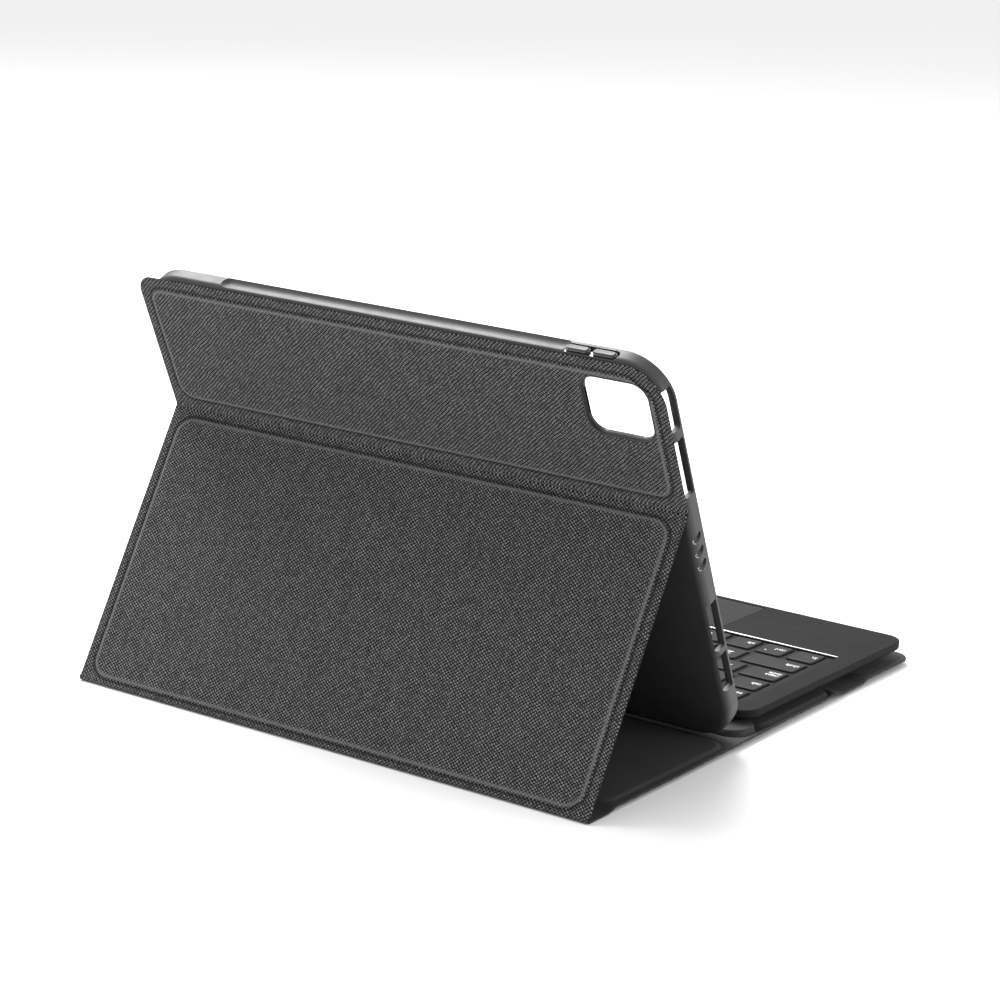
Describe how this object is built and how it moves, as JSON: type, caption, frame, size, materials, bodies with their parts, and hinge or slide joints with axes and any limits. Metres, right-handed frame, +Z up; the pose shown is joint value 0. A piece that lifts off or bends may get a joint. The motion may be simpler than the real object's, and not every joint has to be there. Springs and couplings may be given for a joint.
{
  "type": "tablet keyboard case",
  "caption": "Folding fabric stand cover with a moulded tablet tray, camera window and stylus cradle, plus a lift-off keyboard with trackpad.",
  "frame": {"origin": "centre of the footprint, on the surface the case stands on", "axes": "+Z up, -Y towards the user and the keyboard's palm rest, -X towards the user's left; the tray leans back towards +Y"},
  "size_m": [0.254, 0.268, 0.1719],
  "materials": {
    "textile": "charcoal woven textile, a plain weave of light and dark yarns",
    "lining": "smooth black synthetic leather lining, fine soft grain",
    "board": "stiff grey board",
    "tray": "dark grey flexible moulding, satin",
    "housing": "charcoal moulded housing, fine matte texture",
    "keycap": null,
    "trim": "bright brushed strip",
    "magnet": "nickel plated",
    "socket_metal": "drawn steel shell",
    "circuit": "green solder mask",
    "battery": "laminated foil pouch",
    "rubber": "matte black",
    "light_window": "translucent pale"
  },
  "bodies": {
    "base_cover": {"base_fabric": "textile", "base_lining": "lining", "base_board_rear": "board", "base_board_front": "board", "ridge_core": "board", "ridge_magnet_left": "magnet", "ridge_magnet_right": "magnet"},
    "closing_flap": {"flap_fabric": "textile", "flap_board": "board", "flap_lining": "lining", "flap_magnet": "magnet"},
    "lower_back_panel": {"lower_back_fabric": "textile", "lower_back_board": "board", "lower_back_lining": "lining"},
    "tray_unit": {"upper_back_fabric": "textile", "upper_back_board": "board", "tablet_tray": "tray"},
    "volume_up_button": {"volume_cover_up": "tray"},
    "volume_down_button": {"volume_cover_down": "tray"},
    "keyboard": {"keyboard_deck": "housing", "keyboard_bottom_case": "housing", "keyboard_trim_strip": "trim", "key_dome_sheet": "rubber", "keyboard_circuit_board": "circuit", "keyboard_battery": "battery", "trackpad_switch": "circuit", "charging_socket": "socket_metal", "status_light_window": "light_window", "keyboard_foot_front": "rubber", "keyboard_foot_middle": "rubber", "keyboard_magnet_left": "magnet", "keyboard_magnet_right": "magnet"},
    "trackpad": {"trackpad_plate": "housing"},
    "power_switch": {"power_switch_knob": "keycap"},
    "key_esc_cap": {"key_esc": "keycap"},
    "key_backspace_cap": {"key_backspace": "keycap"},
    "key_tab_cap": {"key_tab": "keycap"},
    "key_backslash_cap": {"key_backslash": "keycap"},
    "key_caps_lock_cap": {"key_caps_lock": "keycap"},
    "key_enter_cap": {"key_enter": "keycap"},
    "key_shift_left_cap": {"key_shift_left": "keycap"},
    "key_shift_right_cap": {"key_shift_right": "keycap"},
    "key_fn_cap": {"key_fn": "keycap"},
    "key_ctrl_cap": {"key_ctrl": "keycap"},
    "key_alt_cap": {"key_alt": "keycap"},
    "key_command_left_cap": {"key_command_left": "keycap"},
    "key_space_cap": {"key_space": "keycap"},
    "key_command_right_cap": {"key_command_right": "keycap"},
    "key_arrow_left_cap": {"key_arrow_left": "keycap"},
    "key_arrow_up_cap": {"key_arrow_up": "keycap"},
    "key_arrow_down_cap": {"key_arrow_down": "keycap"},
    "key_arrow_right_cap": {"key_arrow_right": "keycap"},
    "keys_number_row": {"keys_number_row": "keycap"},
    "keys_upper_row": {"keys_upper_row": "keycap"},
    "keys_home_row": {"keys_home_row": "keycap"},
    "keys_lower_row": {"keys_lower_row": "keycap"}
  },
  "joints": [
    {"name": "rear_fold", "type": "hinge", "parent": "base_cover", "child": "lower_back_panel", "pos_m": [0, 0.13323, 0.00105], "axis": [-1, 0, 0], "range_deg": [0, 118.57]},
    {"name": "middle_fold", "type": "hinge", "parent": "lower_back_panel", "child": "tray_unit", "pos_m": [0, 0.0756, 0.1091], "axis": [-1, 0, 0], "range_deg": [-54.22, 0]},
    {"name": "keyboard_lift_off", "type": "slide", "parent": "base_cover", "child": "keyboard", "axis": [0, 0, 1], "range_m": [0, 0.2]},
    {"name": "flap_fold", "type": "hinge", "parent": "base_cover", "child": "closing_flap", "pos_m": [0, -0.078, 0.00105], "axis": [-1, 0, 0], "range_deg": [0, 150.5]},
    {"name": "volume_up_press", "type": "slide", "parent": "tray_unit", "child": "volume_up_button", "axis": [0, -0.4251, -0.9052], "range_m": [0, 0.0005], "stiffness_N_per_m": 2500, "springref_m": -0.0004},
    {"name": "volume_down_press", "type": "slide", "parent": "tray_unit", "child": "volume_down_button", "axis": [0, -0.4251, -0.9052], "range_m": [0, 0.0005], "stiffness_N_per_m": 2500, "springref_m": -0.0004},
    {"name": "trackpad_click", "type": "slide", "parent": "keyboard", "child": "trackpad", "axis": [0, 0, -1], "range_m": [0, 0.0004], "stiffness_N_per_m": 4000, "springref_m": -0.0003},
    {"name": "power_switch_slide", "type": "slide", "parent": "keyboard", "child": "power_switch", "axis": [0, 1, 0], "range_m": [0, 0.002]},
    {"name": "key_esc_press", "type": "slide", "parent": "keyboard", "child": "key_esc_cap", "axis": [0, 0, -1], "range_m": [0, 0.0012], "stiffness_N_per_m": 350, "springref_m": -0.0008},
    {"name": "key_backspace_press", "type": "slide", "parent": "keyboard", "child": "key_backspace_cap", "axis": [0, 0, -1], "range_m": [0, 0.0012], "stiffness_N_per_m": 350, "springref_m": -0.0008},
    {"name": "key_tab_press", "type": "slide", "parent": "keyboard", "child": "key_tab_cap", "axis": [0, 0, -1], "range_m": [0, 0.0012], "stiffness_N_per_m": 350, "springref_m": -0.0008},
    {"name": "key_backslash_press", "type": "slide", "parent": "keyboard", "child": "key_backslash_cap", "axis": [0, 0, -1], "range_m": [0, 0.0012], "stiffness_N_per_m": 350, "springref_m": -0.0008},
    {"name": "key_caps_lock_press", "type": "slide", "parent": "keyboard", "child": "key_caps_lock_cap", "axis": [0, 0, -1], "range_m": [0, 0.0012], "stiffness_N_per_m": 350, "springref_m": -0.0008},
    {"name": "key_enter_press", "type": "slide", "parent": "keyboard", "child": "key_enter_cap", "axis": [0, 0, -1], "range_m": [0, 0.0012], "stiffness_N_per_m": 350, "springref_m": -0.0008},
    {"name": "key_shift_left_press", "type": "slide", "parent": "keyboard", "child": "key_shift_left_cap", "axis": [0, 0, -1], "range_m": [0, 0.0012], "stiffness_N_per_m": 350, "springref_m": -0.0008},
    {"name": "key_shift_right_press", "type": "slide", "parent": "keyboard", "child": "key_shift_right_cap", "axis": [0, 0, -1], "range_m": [0, 0.0012], "stiffness_N_per_m": 350, "springref_m": -0.0008},
    {"name": "key_fn_press", "type": "slide", "parent": "keyboard", "child": "key_fn_cap", "axis": [0, 0, -1], "range_m": [0, 0.0012], "stiffness_N_per_m": 350, "springref_m": -0.0008},
    {"name": "key_ctrl_press", "type": "slide", "parent": "keyboard", "child": "key_ctrl_cap", "axis": [0, 0, -1], "range_m": [0, 0.0012], "stiffness_N_per_m": 350, "springref_m": -0.0008},
    {"name": "key_alt_press", "type": "slide", "parent": "keyboard", "child": "key_alt_cap", "axis": [0, 0, -1], "range_m": [0, 0.0012], "stiffness_N_per_m": 350, "springref_m": -0.0008},
    {"name": "key_command_left_press", "type": "slide", "parent": "keyboard", "child": "key_command_left_cap", "axis": [0, 0, -1], "range_m": [0, 0.0012], "stiffness_N_per_m": 350, "springref_m": -0.0008},
    {"name": "key_space_press", "type": "slide", "parent": "keyboard", "child": "key_space_cap", "axis": [0, 0, -1], "range_m": [0, 0.0012], "stiffness_N_per_m": 350, "springref_m": -0.0008},
    {"name": "key_command_right_press", "type": "slide", "parent": "keyboard", "child": "key_command_right_cap", "axis": [0, 0, -1], "range_m": [0, 0.0012], "stiffness_N_per_m": 350, "springref_m": -0.0008},
    {"name": "key_arrow_left_press", "type": "slide", "parent": "keyboard", "child": "key_arrow_left_cap", "axis": [0, 0, -1], "range_m": [0, 0.0012], "stiffness_N_per_m": 350, "springref_m": -0.0008},
    {"name": "key_arrow_up_press", "type": "slide", "parent": "keyboard", "child": "key_arrow_up_cap", "axis": [0, 0, -1], "range_m": [0, 0.0012], "stiffness_N_per_m": 350, "springref_m": -0.0008},
    {"name": "key_arrow_down_press", "type": "slide", "parent": "keyboard", "child": "key_arrow_down_cap", "axis": [0, 0, -1], "range_m": [0, 0.0012], "stiffness_N_per_m": 350, "springref_m": -0.0008},
    {"name": "key_arrow_right_press", "type": "slide", "parent": "keyboard", "child": "key_arrow_right_cap", "axis": [0, 0, -1], "range_m": [0, 0.0012], "stiffness_N_per_m": 350, "springref_m": -0.0008},
    {"name": "keys_number_row_press", "type": "slide", "parent": "keyboard", "child": "keys_number_row", "axis": [0, 0, -1], "range_m": [0, 0.0012], "stiffness_N_per_m": 900, "springref_m": -0.0008},
    {"name": "keys_upper_row_press", "type": "slide", "parent": "keyboard", "child": "keys_upper_row", "axis": [0, 0, -1], "range_m": [0, 0.0012], "stiffness_N_per_m": 900, "springref_m": -0.0008},
    {"name": "keys_home_row_press", "type": "slide", "parent": "keyboard", "child": "keys_home_row", "axis": [0, 0, -1], "range_m": [0, 0.0012], "stiffness_N_per_m": 900, "springref_m": -0.0008},
    {"name": "keys_lower_row_press", "type": "slide", "parent": "keyboard", "child": "keys_lower_row", "axis": [0, 0, -1], "range_m": [0, 0.0012], "stiffness_N_per_m": 900, "springref_m": -0.0008}
  ],
  "couplings": [
    {"joint": "middle_fold", "follows": "rear_fold", "ratio": -0.45309},
    {"joint": "flap_fold", "follows": "keyboard_lift_off", "rad_per_m": 13.09}
  ]
}
